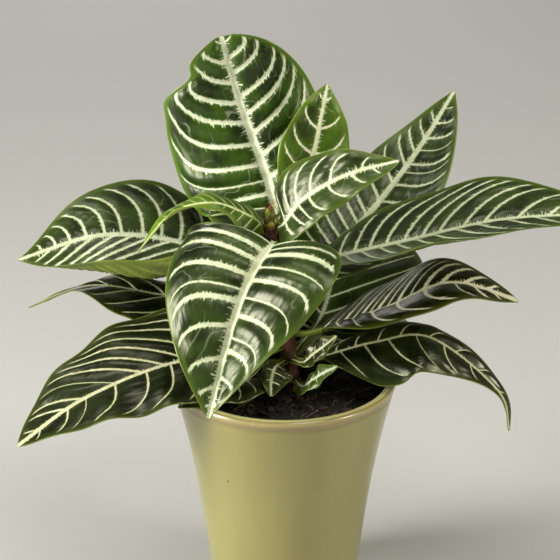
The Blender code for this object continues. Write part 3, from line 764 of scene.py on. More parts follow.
leaves = {
    "leaf_top_back": {
        "height": 240, "heading": 95, "halves": (57, 47), "fold": 15, "curl": -60, "stalk": 9,
        "outline": ((0.38, 0.68), (0.45, 0.5)),
        "way": [(-6, 14, 254), (-13, 22, 277), (-26, 26, 313), (-37, 20, 356)],
        "faces": [(-0.1, -1, 0.2), (0.1, -1, -0.2)], "look": "young",
        "veins": ((8, 17, 25, 35, 48, 62, 74, 87, 100), (12, 26, 40, 54, 66, 77, 93, 103)),
        "faint": (8, 25, 12), "sweep": ((-0.05, 0.7, 0.4, 4), (0.25, 0.6, 0.4, 4)), "veinWidth": 2.2,
        "ribWidth": 5.4, "quilt": 2.1, "dents": ((0, 97, 8, 7), (0, 84, -3, 6)),
    },
    "leaf_top_upright": {
        "height": 246, "heading": 80, "halves": (22, 22), "fold": 16, "outline": ((0.9, 0.95), (0.7, 0.95)),
        "way": [(3, 3, 259), (16, 5, 287), (22, 11, 314), (25, 17, 328)],
        "faces": [(0.1, -1, 0), (0.4, -0.9, 0.2)], "look": "bright",
        "veins": (5, 14, 24, 35, 50, 67), "sweep": (0.1, 0.6, 0.6, 3), "veinWidth": 1.5, "ribWidth": 3.4,
    },
    "leaf_top_right": {
        "height": 247, "heading": -45, "halves": (23.5, 20), "curl": -12,
        "outline": ((0.4, 1.05), (0.32, 0.75)),
        "way": [(0, -16, 254), (11, -20, 270), (36, -27, 287), (65, -32, 297)],
        "faces": [(-0.8, -0.5, 0.4), (-0.3, -0.7, 0.6)], "stalk": 8,
        "veins": ((6, 13, 20, 30, 44, 64), (6, 13, 20, 28, 42, 58, 71)),
        "sweep": ((0.2, 0.7, 0.8, 3), (0.1, 0.6, 0.6, 3)), "veinWidth": 1.5, "ribWidth": 2.8,
    },
    "leaf_top_left": {
        "height": 246, "heading": 195, "halves": (26, 17), "fold": (-40, 14), "curl": (-14, -40),
        "outline": ((0.06, 4.2), (0.12, 0.95)), "stalk": 1,
        "way": [(-19, -9, 255), (-41, -18, 267), (-65, -22, 262), (-86, -24, 238)],
        "faces": [(0.6, -0.1, 0.8), (-0.9, 0, 0.5)], "look": "fresh",
        "veinPitch": 6, "sweep": (0.5, 0.8, 0.5, 4), "veinWidth": 0.9, "veinTaper": (1, 0.2),
        "ribWidth": 2.0, "ribTaper": (0.8, 0.2),
    },
    "leaf_front": {
        "height": 236, "heading": -100, "halves": (52, 58), "stalk": 26, "fold": (32, 28), "curl": (-50, -68),
        "outline": ((0.17, 1), (0.13, 0.9)),
        "way": [(-7, -30, 246), (-20, -50, 231), (-31, -66, 205), (-43, -88, 162)],
        "faces": [(0.2, 0.1, 1), (-0.1, -0.6, 0.8)],
        "veins": ((3, 7.5, 12, 20, 28.5, 39, 49.5, 63, 70, 86, 101), (1, 9, 16, 26, 35, 41, 56, 75, 92, 102)),
        "faint": (3, 7.5, 20, 39, 63, 1, 35), "sweep": ((-0.2, 0.35, 0.5, 4.5), (-0.08, 0.55, 0.45, 4)),
        "veinWidth": 2.2, "ribWidth": 6.0, "quilt": 1.8,
    },
    "leaf_right_upper": {
        "height": 211, "heading": 35, "halves": (33, 39), "curl": (-25, 10),
        "outline": ((0.35, 0.95), (0.5, 0.88)),
        "way": [(24, 20, 216), (54, 48, 239), (82, 71, 269), (106, 88, 304)],
        "faces": [(-0.4, -0.6, 0.7), (-0.2, -0.8, 0.5)],
        "veins": ((8, 17, 25, 33, 41, 49, 57, 70, 84, 98, 108, 119, 131),
                  (9, 18, 26, 34, 41, 48, 58, 70, 84, 94, 100, 111, 120, 131)),
        "faint": (94, 111), "sweep": ((0.3, 1.0, 0.4, 4), (0.1, 0.5, 0.55, 4)), "veinWidth": 1.5,
        "ribWidth": 4.4,
    },
    "leaf_right_long": {
        "height": 224, "heading": -10, "halves": (41, 46), "fold": (12, 8), "curl": (0, 25),
        "outline": ((0.95, 0.9), (0.65, 0.9)),
        "way": [(16, -6, 226), (70, -2, 237), (126, -6, 252), (187, -14, 259)],
        "faces": [(-0.1, -0.1, 1), (-0.1, -0.2, 1)],
        "veins": ((10, 19, 28, 37, 47, 58, 69, 79, 94, 106, 126, 144, 158),
                  (12, 22, 32, 43, 53, 65, 76, 89, 102, 120, 136, 152)),
        "sweep": ((0.3, 1.1, 0.65, 3), (0, 1.2, 0.3, 3)), "veinWidth": 1.6, "ribWidth": 3.6,
    },
    "leaf_right_back": {
        "height": 164, "heading": 40, "halves": (44, 57), "stalk": 22, "fold": (8, 2), "curl": (-20, -8),
        "outline": (0.4, 0.85),
        "way": [(23, 23, 180), (32, 57, 201), (40, 96, 209), (46, 128, 202)],
        "faces": [(-0.1, -0.5, 0.85), (0, -0.2, 1)],
        "veins": (8, 20, 33, 46, 60, 74, 88, 101, 112), "sweep": (0.55, 0.7, 0.1, 4),
        "veinWidth": 1.1, "ribWidth": 2.2, "quilt": 0.8,
    },
    "leaf_right_middle": {
        "height": 178, "heading": 0, "halves": (29, 31), "fold": (6, 20), "curl": (-10, -27),
        "way": [(20, 0, 180), (60, 0, 194), (99, 0, 210), (141, 0, 198)],
        "faces": [(0.1, 0.1, 1), (0.3, -0.4, 0.9)], "look": "golden",
        "veins": ((4, 10, 16, 22, 27, 32, 37, 43, 50, 58, 67, 78, 92, 106),
                  (4, 12, 22, 34, 50, 68, 87, 99, 112)),
        "faint": (87, 10, 22, 32, 43, 58), "sweep": ((0.6, 1.1, 0.5, 4), (0, 0.1, 0.8, 4)),
        "veinWidth": 2.2, "veinTaper": (0.7, 1.25), "ribWidth": 3.8, "ribTaper": (0.2, 1.1),
    },
    "leaf_right_low": {
        "height": 161, "heading": -10, "halves": (12, 33), "fold": (0, 15), "curl": (-30, -30),
        "outline": ((0.5, 0.75), (1.1, 2.4)),
        "way": [(20, -4, 163), (54, -4, 173), (88, -9, 178), (128, -19, 148), (136, -22, 122)],
        "faces": [(0, -0.5, 0.9), (0.6, -0.6, 0.5)], "look": "old",
        "veins": ((10, 22, 36, 50, 68, 86, 104, 122), (13, 28, 43, 60, 78, 98, 118)), "faint": (60,),
        "sweep": ((0.4, 0.8, 0.6, 3), (0.3, 0.4, 1.1, 2.5)), "veinWidth": 1.1,
        "ribWidth": 1.9, "ribTaper": (0.7, 0.7),
    },
    "leaf_right_small": {
        "height": 162, "heading": -70, "halves": (7, 7), "stalk": 8,
        "way": [(11, -11, 163), (17, -15, 170), (24, -20, 178), (31, -24, 186)],
        "faces": [(-0.4, -0.5, 0.8), (-0.2, -0.7, 0.7)], "look": "old",
        "veinPitch": 7, "veinWidth": 1.0, "ribWidth": 2.0,
    },
    "leaf_left_long": {
        "height": 217, "heading": 160, "halves": (52, 48), "fold": (-12, -20), "curl": (52, 28),
        "outline": ((0.7, 1.15), (1, 1.3)),
        "way": [(-23, 8, 218), (-65, 16, 231), (-111, 12, 236), (-160, 4, 223)],
        "faces": [(0.6, -0.2, 0.8), (-0.5, -0.7, 0.6)],
        "veins": ((8, 22, 36, 49, 62, 73, 84, 97, 111, 124),
                  (12, 24, 35, 46, 57, 68, 81, 91, 102, 112, 121, 130)),
        "sweep": ((1.5, 1.8, 0.7, 2), (0, 0.1, 0.45, 3.5)), "veinWidth": 1.5, "ribWidth": 4.0,
        "roll": (0, 75, 0.62, (18, 150)),
    },
    "leaf_left_narrow": {
        "height": 185, "heading": 140, "halves": (34, 24), "curl": (-25, -40),
        "way": [(-14, 14, 187), (-74, 32, 189), (-120, 36, 194), (-159, 32, 181)],
        "faces": [(-0.1, -0.4, 0.9), (-0.4, 0.1, 0.9)], "look": "old",
        "veins": ((12, 26, 42, 63, 84, 101, 118), (12, 30, 48, 64, 82, 100, 118)),
        "sweep": (1.0, 1.4, 0.5, 4), "veinWidth": 1.2, "ribWidth": 2.0, "ribTaper": (0.8, 0.4),
        "dents": ((0, 128, 9, 24), (1, 122, 9, 26), (1, 62, 3, 10)), "wave": (2.2, 3.4, 0.2),
    },
    "leaf_left_low": {
        "height": 169, "heading": -160, "halves": (33, 39), "curl": -10, "outline": (0.6, 0.85),
        "way": [(-14, -12, 170), (-67, -26, 169), (-118, -44, 154), (-156, -60, 131)],
        "faces": [(0, -0.6, 0.8), (-0.4, -0.4, 0.9)], "look": "old",
        "veins": ((12, 27, 42, 58, 73, 93, 112, 124, 144), (8, 20, 34, 47, 61, 75, 92, 113, 124, 144)),
        "faint": (112, 92), "sweep": ((-0.1, 0.5, 0.75, 3.5), (1.3, 1.9, 0.75, 4)), "veinWidth": 1.15,
        "ribWidth": 2.3, "ribTaper": (0.6, 1.2), "wave": (2.4, 4.2, 0.1),
    },
    "leaf_left_rim": {
        "height": 152, "heading": -130, "halves": (17, 11),
        "way": [(-14, -14, 154), (-29, -26, 156), (-45, -38, 156), (-63, -47, 150)],
        "faces": [(0.2, -0.1, 0.95), (0, -0.45, 0.9)], "look": "old",
        "veinPitch": 9, "veinWidth": 1.0, "ribWidth": 2.0,
    },
    "leaf_front_small": {
        "height": 161, "heading": -120, "halves": (12, 7), "stalk": 7,
        "way": [(-5, -15, 162), (-7, -21, 160), (-8, -27, 156), (-8, -33, 150)],
        "faces": [(0.2, -0.6, 0.8), (0, -0.8, 0.5)], "look": "old",
        "veinPitch": 6, "veinWidth": 1.1, "ribWidth": 1.8,
    },
    "leaf_soil_small": {
        "height": 148, "heading": -60, "halves": (8, 8), "stalk": 6,
        "way": [(11, -17, 150), (17, -25, 158), (23, -31, 165), (31, -37, 172)],
        "faces": [(-0.3, -0.3, 0.8), (0.2, -0.7, 0.7)],
        "veinPitch": 7, "veinWidth": 1.2, "ribWidth": 2.2,
    },
    "leaf_back_high": {
        "height": 234, "heading": 110, "halves": (34, 34), "stalk": 4, "outline": (0.35, 0.95),
        "way": [(-12, 18, 240), (-20, 58, 248), (-28, 96, 242), (-34, 130, 220)],
        "faces": [(0, 0.2, 0.95), (0, 0.6, 0.8)],
    },
    "leaf_back_left": {
        "height": 204, "heading": 135, "halves": (38, 38),
        "way": [(-20, 20, 206), (-54, 50, 212), (-88, 78, 204), (-116, 98, 178)],
        "faces": [(-0.2, 0.1, 0.95), (-0.5, 0.4, 0.8)],
    },
    "leaf_back_low": {
        "height": 170, "heading": 105, "halves": (36, 36),
        "way": [(-6, 20, 170), (-20, 60, 174), (-36, 96, 160), (-46, 120, 130)],
        "faces": [(-0.1, 0.2, 0.95), (-0.3, 0.7, 0.6)], "look": "old",
    },
    "leaf_back_right": {
        "height": 154, "heading": 65, "halves": (34, 34),
        "way": [(12, 24, 156), (36, 54, 166), (60, 80, 158), (78, 104, 130)],
        "faces": [(0.1, 0.1, 0.95), (0.5, 0.5, 0.7)], "look": "old",
    },
    "leaf_left_back_low": {
        "height": 158, "heading": 165, "halves": (30, 30),
        "way": [(-20, 6, 158), (-52, 18, 166), (-86, 30, 158), (-108, 38, 130)],
        "faces": [(0, 0, 0.95), (-0.6, 0, 0.7)], "look": "old",
    },
}

blade = {
    "stalkHalfWidth": 2.0, "stalkGap": 0.8, "intoStem": 2.6, "stalkRows": 10, "stalkPast": 2, "stalkFade": 6,
    "sheath": 0.5, "sheathLength": 5, "tipHalfWidth": 0.6, "tipTrim": 0.7,
    "keel": 3.2, "keelHalfWidth": 2.2, "thickness": 0.7,
    "rowSpacing": 1.15, "rowLimits": (36, 170), "columnSpacing": 1.35, "columnLimits": (12, 44),
    "waveShift": 0.37, "rollIn": 26, "rollOut": 34, "rollSpan": 0.2,
    "faintWidth": 0.45, "spareVeins": 3, "spareWidth": 0.5, "widestSpacing": 40,
    "swellings": 40, "spareSwellings": 8, "rightCount": 40,
}


def both(value):
    return value if isinstance(value, tuple) else (value, value)


def sideValue(value, side):
    # a leaf's own value for one half, where it gives a pair of rows
    return value[side] if isinstance(value[0], tuple) else value


def tapered(ends, share):
    atBase, atTip = ends
    return atBase + (atTip - atBase) * share


def leafRows(leaf, count):
    # for each row of a leaf its middle, the ways along it and out of its upper face, its share of the blade's
    # length and its distance from the stem; then the blade's length
    heading = math.radians(leaf["heading"])
    out = np.array([math.cos(heading), math.sin(heading), 0])
    start = stemCentre(leaf["height"]) + (stemRadius(leaf["height"]) + blade["stalkGap"]) * out
    way, reach = smoothWay([start, *leaf["way"]])
    length, stalk = reach[-1], leaf["stalk"]
    foot = np.linspace(-blade["intoStem"], stalk, blade["stalkRows"] + 1)[:-1]
    rise = (1 - np.cos(np.linspace(0, math.pi, count + 1))) / 2
    distance = np.concatenate([foot, stalk + (length - blade["tipTrim"] - stalk) * rise])
    middle = atDistance(way, reach, distance)
    step = 2  # the way along is taken from this far behind to this far ahead
    ahead = atDistance(way, reach, np.clip(distance + step, step, length))
    behind = atDistance(way, reach, np.clip(distance - step, 0, length - step))
    along = unit(ahead - behind)
    middle += np.minimum(distance, 0)[:, None] * along
    share = np.clip((distance - stalk) / (length - stalk), 0, 1)
    base, tip = (unit(np.array(face, float)) for face in leaf["faces"])
    facing = base * (1 - share[:, None]) + tip * share[:, None]
    facing = unit(facing - (facing * along).sum(1, keepdims=True) * along)
    return middle, along, facing, share, distance, length - stalk


def halfWidth(leaf, side, share, distance):
    rise, fall = sideValue(leaf["outline"], side)
    widest = rise / (rise + fall)
    width = share**rise * (1 - share) ** fall / (widest**rise * (1 - widest) ** fall)
    # the stalk runs on a little way into the blade, and its foot is a wider sheath
    past = distance - leaf["stalk"]
    stalk = blade["stalkHalfWidth"] * np.clip(1 - (past - blade["stalkPast"]) / blade["stalkFade"], 0, 1)
    sheath = 1 + blade["sheath"] * np.clip(1 - distance / blade["sheathLength"], 0, 1)
    found = np.maximum(leaf["halves"][side] * width, stalk * sheath)
    for dentSide, along, deep, wide in leaf["dents"]:
        if dentSide == side:
            found = found - deep * np.exp(-(((past - along) / wide) ** 2))
    return np.maximum(found, blade["tipHalfWidth"])


def veinStarts(leaf, side, length):
    if leaf["veins"]:
        return np.array(sideValue(leaf["veins"], side), float)
    # about evenly spaced, a little closer towards the tip, and a little earlier in the right half
    count = max(int(length / leaf["veinPitch"]), 4)
    shares = (np.arange(count) + 0.5 - 0.2 * side) / count
    return length * shares**0.95


def veinOrigin(leaf, side, reach, forward, rows):
    # where on the midrib the vein through a place on the blade starts
    _, _, _, share, distance, length = rows
    first, last, hook, late = sideValue(leaf["sweep"], side)
    half = np.interp(forward + leaf["stalk"], distance, halfWidth(leaf, side, share, distance))
    # near the margin the vein turns along it, less so at the blade's base
    edge = np.clip(reach / half / 0.92, 0, 1.1)
    follow = hook * (0.15 + 0.85 * fade(forward / length, 0.1, 0.7))
    return (forward - follow * half * edge**late - first * reach) / (1 + (last - first) * reach / length)


def veinPhase(leaf, side, reach, forward, rows):
    # counts the veins, a whole number on each; with the way to the next one and the vein's own width
    def originAt(outwards=0.0, onwards=0.0):
        return veinOrigin(leaf, side, reach + outwards, forward + onwards, rows)

    starts = veinStarts(leaf, side, rows[5])
    steps = np.diff(starts)
    spare = blade["spareVeins"]  # the count goes on by so many past the first vein and past the last one
    beyond = np.arange(spare) + 1
    held = np.concatenate([starts[0] - steps[0] * beyond[::-1], starts, starts[-1] + steps[-1] * beyond])
    origin = originAt()
    phase = np.interp(origin, held, np.arange(len(held)) - spare)
    step = 0.5
    ahead = originAt(onwards=step) - originAt(onwards=-step)
    aside = originAt(outwards=step) - originAt(outwards=-step)
    spacing = np.interp(origin, (held[1:] + held[:-1]) / 2, np.diff(held)) / np.hypot(ahead, aside)
    faint = np.array([start in leaf["faint"] for start in starts])
    own = np.pad(np.where(faint, blade["faintWidth"], 1.0), spare, constant_values=blade["spareWidth"])
    width = own[np.clip(np.round(phase).astype(int) + spare, 0, len(own) - 1)] * leaf["veinWidth"]
    width = width * tapered(leaf["veinTaper"], np.clip(origin / rows[5], 0, 1))
    return phase, np.clip(spacing, 1, blade["widestSpacing"]), width


def ribHalf(leaf, share, forward):
    # half the width of the midrib's cream stripe, slim where the blade starts
    return leaf["ribWidth"] / 2 * (0.4 + 0.6 * fade(forward, 0, 14)) * tapered(leaf["ribTaper"], share**1.3)


def addedUp(slope, reach):
    # adds up a slope from the midrib outwards, row by row
    steps = (slope[:, 1:] + slope[:, :-1]) / 2 * np.diff(reach, axis=1)
    return np.concatenate([0 * reach[:, :1], np.cumsum(steps, 1)], 1)


def rolledUp(roll, forward, shares):
    # the degrees that a roll adds, from its inner line on and fading at both its ends
    _, degrees, start, (fromPlace, toPlace) = roll
    begins = fade(forward, fromPlace, fromPlace + blade["rollIn"])
    ends = 1 - fade(forward, toPlace - blade["rollOut"], toPlace)
    return degrees * fade(shares[None, :], start, start + blade["rollSpan"]) * begins * ends


def leafColumns(leaf, rows, side, shares):
    # one half of the leaf: places, and the numbers that its material reads, for each row and column
    middle, along, facing, share, distance, _ = rows
    half = halfWidth(leaf, side, share, distance)[:, None]
    reach = half * shares[None, :]
    forward = np.maximum(distance - leaf["stalk"], 0)[:, None] + 0 * reach
    angle = both(leaf["fold"])[side] + both(leaf["curl"])[side] * reach / leaf["halves"][side]
    if leaf["roll"] and leaf["roll"][0] == side:
        angle = angle + rolledUp(leaf["roll"], forward, shares)
    out, up = (addedUp(way(np.radians(angle)), reach) for way in (np.cos, np.sin))
    height, count, start = leaf["wave"]
    turn = (count * share + start + blade["waveShift"] * (1 - side))[:, None]
    wide = (reach / half) ** 2
    up = up + height * wide * np.sin(2 * math.pi * turn) * np.sin(math.pi * share)[:, None]
    across = np.cross(along, facing) * (2 * side - 1)
    places = middle[:, None] + across[:, None] * out[..., None] + facing[:, None] * up[..., None]
    phase, spacing, width = veinPhase(leaf, side, reach, forward, rows)
    pastRib = reach - ribHalf(leaf, share[:, None], forward)
    return {"places": places, "reach": reach, "forward": forward, "phase": phase, "spacing": spacing,
            "width": width, "margin": half - reach, "pastRib": pastRib}


def quiltHeight(leaf, side, found, seed):
    # the blade swells between its veins; each swelling has its own height
    phase, count = found["phase"], blade["swellings"]
    swell = np.sin(math.pi * np.abs(phase - np.round(phase))) ** 0.75
    heights = np.random.default_rng(seed).uniform(0.55, 1.25, count)
    own = np.interp(phase, np.arange(count) - blade["spareSwellings"] + 0.5, heights)
    # it lies flat along the margin, the midrib and the base, and where veins are close
    calm = fade(found["margin"], 0, 0.22 * leaf["halves"][side]) * np.clip(found["spacing"] / 12, 0, 1)
    return leaf["quilt"] * own * swell * calm * fade(found["reach"], 1.0, 6.0) * fade(found["forward"], 0, 9)


def underDepth(shares, share, found):
    # thickness below the upper face: the keel under the midrib, ridges under the veins, the round stalk
    reach, phase, spacing, margin = (found[key] for key in ("reach", "phase", "spacing", "margin"))
    keel = blade["keel"] * np.clip(1 - 0.78 * share, 0.16, 1)[:, None]
    stalk = np.clip(1 - 9 * share, 0, 1)[:, None]
    ridge = 0.45 * np.exp(-((np.abs(phase - np.round(phase)) * spacing / 1.1) ** 2)) * fade(margin, 2, 9)
    flesh = blade["thickness"] * (0.6 + 0.4 * fade(margin, 0, 3)) + ridge * (1 - stalk)
    rib = (keel - flesh) * np.exp(-((reach / blade["keelHalfWidth"]) ** 2))
    roundStalk = blade["keel"] * np.sqrt(np.clip(1 - shares[None, :] ** 2, 0.04, 1))
    return np.maximum(flesh + np.maximum(rib, 0), roundStalk * stalk)


def joined(halves):
    # the two halves as one grid, from the left margin to the right one
    return np.concatenate([halves[0][:, ::-1], halves[1][:, 1:]], 1)


def gridMesh(name, places):
    # a grid whose points are moved to their places, counted row by row from the leaf's base
    rows, columns = places.shape[:2]
    form = newGrid(columns - 1, rows - 1, 1)
    counted = form.verts.layers.int.new("gridIndex")
    flat = (places * mm).reshape(-1, 3).tolist()
    for vertex in form.verts:
        column = round((vertex.co.x + 1) / 2 * (columns - 1))
        row = round((vertex.co.y + 1) / 2 * (rows - 1))
        vertex[counted] = row * columns + column
        vertex.co = flat[row * columns + column]
    return meshFrom(form, name)


def gridIndex(mesh, columns):
    index = np.zeros(len(mesh.vertices), np.int32)
    mesh.attributes["gridIndex"].data.foreach_get("value", index)
    return index % columns, index // columns


def paintNumbers(mesh, half, sides):
    # for each corner of each face, from its own half: the vein count, the way between two veins and the
    # vein's width; then how far it is past the midrib's stripe, along the blade and from the margin
    column, row = gridIndex(mesh, 2 * half + 1)
    corner = np.zeros(len(mesh.loops), np.int32)
    mesh.loops.foreach_get("vertex_index", corner)
    column, row = column[corner], row[corner]
    isRight = np.repeat(column.reshape(-1, 4).mean(1) > half, 4)
    layers = {"vein": ("phase", "spacing", "width"), "body": ("pastRib", "forward", "margin")}
    for name, keys in layers.items():
        values = np.zeros((len(corner), 3), np.float32)
        for side, chosen in enumerate((~isRight, isRight)):
            for axis, key in enumerate(keys):
                shift = blade["rightCount"] * side if key == "phase" else 0
                values[chosen, axis] = sides[side][key][row[chosen], np.abs(column[chosen] - half)] + shift
        layer = mesh.attributes.new(name, "FLOAT_VECTOR", "CORNER")
        layer.data.foreach_set("vector", values.ravel())


def thicken(made, depth):
    # gives the upper face its flesh, keel and stalk; the group holds each point's own share of the thickness
    group = made.vertex_groups.new(name="depth")
    column, row = gridIndex(made.data, depth.shape[1])
    for index, weight in enumerate((depth[row, column] / blade["keel"]).tolist()):
        group.add([index], weight, "REPLACE")
    made.data.attributes.remove(made.data.attributes["gridIndex"])
    shell = made.modifiers.new("thickness", "SOLIDIFY")
    shell.thickness = blade["keel"] * mm
    shell.offset = -1
    shell.vertex_group = "depth"
    shell.material_offset = 1
    shell.material_offset_rim = 1


def makeLeaf(name, own, skins, seed):
    leaf = {**usualLeaf, **own}
    length = smoothWay(leaf["way"])[1][-1]
    count = int(np.clip(length / blade["rowSpacing"], *blade["rowLimits"]))
    half = int(np.clip(max(leaf["halves"]) / blade["columnSpacing"], *blade["columnLimits"]))
    rows = leafRows(leaf, count)
    shares = np.linspace(0, 1, half + 1) ** 1.15
    sides = [leafColumns(leaf, rows, side, shares) for side in (0, 1)]
    depth = joined([underDepth(shares, rows[3], found) for found in sides])
    lift = joined([quiltHeight(leaf, side, found, seed + side) for side, found in enumerate(sides)])
    places = joined([found["places"] for found in sides])
    normal = unit(np.cross(np.gradient(places, axis=1), np.gradient(places, axis=0)) + 1e-9)
    mesh = gridMesh(name, places + normal * lift[..., None])
    paintNumbers(mesh, half, sides)
    made = newObject(name.replace("leaf_", "blade_"), mesh)
    for skin in skins[leaf["look"]]:
        mesh.materials.append(skin)
    thicken(made, depth)
    mesh.shade_smooth()
    settle(finished(made), "leaf", name)


# Leaf materials

def veinGroup():
    # where the cream lines are: the midrib and the side veins, both with small spurs, and threads between
    inputs = {"Vein": "Vector", "Body": "Vector", "Spread": "Float", "Ragged": "Float"}
    outputs = dict.fromkeys(("Veins", "Rib", "Halo", "Threads"), "Float")
    group, entry, exits = newGroup("zebraVeins", "ShaderNodeTree", inputs, outputs)
    count, spacing, own = split(entry["Vein"])
    pastRib, forward, margin = split(entry["Body"])
    whole = calc("FRACT", plus(count, 8.5))
    offLine = times(calc("ABSOLUTE", minus(whole, 0.5)), spacing)
    # spurs stand across a vein, so their pattern is fine along it and long across it
    onSide = calc("GREATER_THAN", whole, 0.5)
    alongVein = vectorOf(times(pastRib, 0.95), times(count, 1.3), onSide)
    ragged = times(own, entry["Ragged"], 0.42)
    # a vein thins out towards the margin and stops short of it
    width = times(own, entry["Spread"], between(margin, 2.0, 24.0, 0.26, 0.5))
    edge = minus(minus(offLine, spurs(alongVein, ragged)), width)
    ends = between(margin, 2.0, 4.6)
    onRight = calc("GREATER_THAN", count, blade["rightCount"] - 10.0)
    alongRib = vectorOf(forward, times(pastRib, 0.14), onRight)
    ribEdge = minus(pastRib, spurs(alongRib, times(ragged, 2.3)))
    halo = times(between(edge, -0.3, 1.8, 1.0, 0.0), ends)
    found = {
        "Veins": times(between(edge, -0.28, 0.24, 1.0, 0.0), ends),
        "Rib": between(ribEdge, -0.3, 0.3, 1.0, 0.0),
        "Halo": calc("MAXIMUM", halo, between(ribEdge, -0.3, 2.4, 1.0, 0.0)),
        "Threads": threads(pastRib, count, margin),
    }
    for name, value in found.items():
        feed(exits[name], value)
    return group


def spurs(place, length):
    # how far the edge of a cream line is pushed out, mostly little and here and there by a pointed spur
    wander = grain(place, 1.0, 3.0, 0.8)
    return times(calc("POWER", between(wander, 0.36, 0.74), 2.2), length)


def threads(pastRib, count, margin):
    # hair-thin veins that wander between the side veins, in some places only
    place = vectorOf(times(pastRib, 0.05), times(count, 0.6))
    level = calc("ABSOLUTE", minus(grain(place, 1.0, 1.5), 0.5))
    thread = between(level, 0.002, 0.011, 1.0, 0.0)
    patch = between(grain(place, 0.9, 0.0), 0.42, 0.6)
    return times(thread, patch, between(margin, 3.0, 8.0))


leafLooks = {
    "fresh": {"dark": (34, 56, 8), "mid": (76, 106, 14), "edge": (112, 142, 28),
              "vein": (210, 219, 168), "veinShade": (184, 196, 122), "ribBase": (130, 140, 50),
              "gloss": 0.38, "threads": 0.1, "ragged": 0.9},
    "bright": {"dark": (30, 52, 8), "mid": (70, 100, 14), "edge": (108, 140, 28),
               "vein": (244, 247, 216), "veinShade": (224, 229, 182), "ribBase": (150, 148, 76),
               "gloss": 0.36, "threads": 0.14, "ragged": 2.0},
    "young": {"dark": (18, 33, 6), "mid": (48, 75, 13), "edge": (98, 136, 26),
              "vein": (228, 233, 210), "veinShade": (206, 214, 176), "ribBase": (170, 160, 104),
              "gloss": 0.3, "threads": 0.24, "ragged": 2.4},
    "mature": {"dark": (16, 27, 8), "mid": (42, 60, 16), "edge": (78, 100, 28),
               "vein": (204, 210, 184), "veinShade": (184, 191, 152), "ribBase": (204, 208, 178),
               "gloss": 0.31, "threads": 0.14, "ragged": 2.1},
    "old": {"dark": (9, 13, 4), "mid": (25, 34, 9), "edge": (58, 68, 22),
            "vein": (198, 198, 166), "veinShade": (176, 176, 134), "ribBase": (164, 163, 106),
            "gloss": 0.28, "threads": 0.0, "ragged": 1.3},
    # the old look with a yellower edge and its cream veins painted near white: painted light on a leaf that
    # the lamps leave dim
    "golden": {"dark": (9, 12, 4), "mid": (28, 36, 8), "edge": (88, 92, 24),
               "vein": (255, 253, 236), "veinShade": (250, 247, 210), "ribBase": (200, 192, 116),
               "gloss": 0.28, "threads": 0.0, "ragged": 1.3},
}

# the under greens are the underside's own paler green, painted lighter and yellower for light that shines
# through the blade
leafTones = {
    "rim": (120, 132, 52), "underDark": (84, 98, 20), "underLight": (112, 126, 32),
    "underVein": (150, 158, 74), "underRib": (160, 168, 86), "shine": 0.46, "shineTint": (1, 1, 0.78, 1),
}


def placeVeins(tree, group, spread, ragged):
    # the numbers that each blade carries, and the cream lines that follow from them
    vein, body = (readNumbers(tree, name, "Vector") for name in ("vein", "body"))
    inputs = {"Vein": vein, "Body": body, "Spread": spread, "Ragged": ragged}
    return vein, body, addNode("ShaderNodeGroup", inputs, node_tree=group).outputs


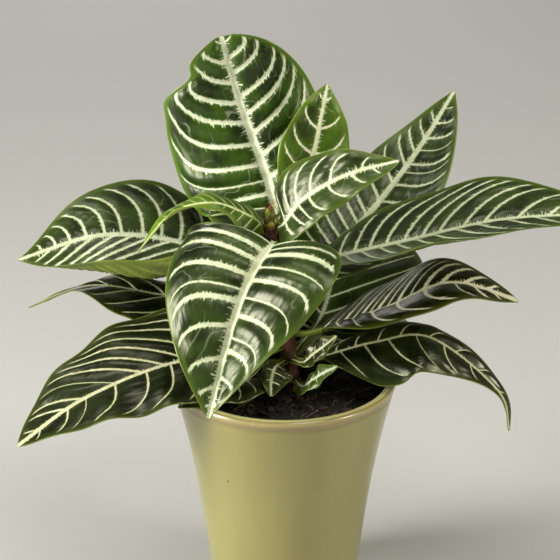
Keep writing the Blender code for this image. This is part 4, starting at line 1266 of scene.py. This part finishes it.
def upperMaterial(name, look, veins):
    skin, shader, place = newMaterial(name, look["gloss"])
    vein, body, found = placeVeins(place.id_data, veins, 1.0, look["ragged"])
    _, forward, margin = split(body)
    clouds = grain(place, 42, 3)
    mottled = grain(place, 300, 4, 0.6)
    green = mixColour(between(clouds, 0.36, 0.64), look["dark"], look["mid"])
    green = mixColour(between(mottled, 0.5, 0.8, 0, 0.25), green, look["edge"])
    green = mixColour(between(margin, 0.5, 6.0, 0.5, 0), green, look["edge"])
    green = tinted(green, found["Halo"], 0.3, look["edge"])
    green = tinted(green, found["Threads"], look["threads"], look["vein"])
    cream = mixColour(between(mottled, 0.35, 0.7), look["vein"], look["veinShade"])
    # the midrib starts straw-coloured at the blade's base
    straw = mixColour(between(mottled, 0.4, 0.6), cream, look["ribBase"])
    ribTone = mixColour(between(forward, 4.0, 20.0, 1.0, 0.0), cream, straw)
    painted = mixColour(found["Veins"], green, cream)
    painted = mixColour(found["Rib"], painted, ribTone)
    painted = tinted(painted, between(margin, 0.25, 0.75, 1, 0), 0.7, leafTones["rim"])
    lines = calc("MAXIMUM", found["Veins"], found["Rib"])
    gloss = between(clouds, 0.3, 0.7, look["gloss"] - 0.03, look["gloss"] + 0.06)
    paint(shader, painted, plus(gloss, times(lines, 0.16)))
    shader.inputs["Specular IOR Level"].default_value = leafTones["shine"]
    shader.inputs["Specular Tint"].default_value = leafTones["shineTint"]
    # soft puckers that lie across the way from vein to vein, a fine skin, and veins a little sunk in
    fold = vectorOf(times(split(vein)[0], 0.75), 0, times(margin, 0.2))
    pucker = times(grain(fold, 1.0, 1.5), 0.8)
    soft = times(grain(place, 110, 1.5), 0.35)
    fine = times(grain(place, 1500, 2), 0.02)
    bump(shader, minus(plus(pucker, soft, fine), times(lines, 0.12)), 0.5, 1.5 * mm)
    return skin


def underMaterial(name, look, veins):
    skin, shader, place = newMaterial(name, 0.5)
    _, _, found = placeVeins(place.id_data, veins, 0.7, 0.4)
    clouds = between(grain(place, 45, 3), 0.35, 0.65)
    # the underside's paler green, with painted light that shines through the blade
    painted = mixColour(clouds, leafTones["underDark"], leafTones["underLight"])
    painted = mixColour(0.2, painted, look["mid"])
    painted = tinted(painted, found["Halo"], 0.3, leafTones["underVein"])
    painted = tinted(painted, found["Veins"], 0.45, leafTones["underVein"])
    paint(shader, tinted(painted, found["Rib"], 0.85, leafTones["underRib"]))
    # the veins stand out, with a fine net between them
    net = addNode("ShaderNodeTexVoronoi", {"Vector": place, "Scale": 420}, feature="DISTANCE_TO_EDGE")
    cells = times(between(net.outputs["Distance"], 0.0, 0.2, 1, 0), 0.3)
    lines = calc("MAXIMUM", found["Veins"], found["Rib"])
    bump(shader, plus(cells, times(lines, 0.5)), 0.5, 0.8 * mm)
    return skin


def makeLeaves():
    veins = veinGroup()
    skins = {
        look: (upperMaterial(look + "Upper", values, veins), underMaterial(look + "Under", values, veins))
        for look, values in leafLooks.items()
    }
    for index, (name, own) in enumerate(leaves.items()):
        makeLeaf(name, own, skins, 100 + 2 * index)
    print("leaves:", len(leaves))


makeCamera()
makeLight()
makeFloor()
makePot()
makeSoil()
makeStem()
makeBud()
makeLeaves()
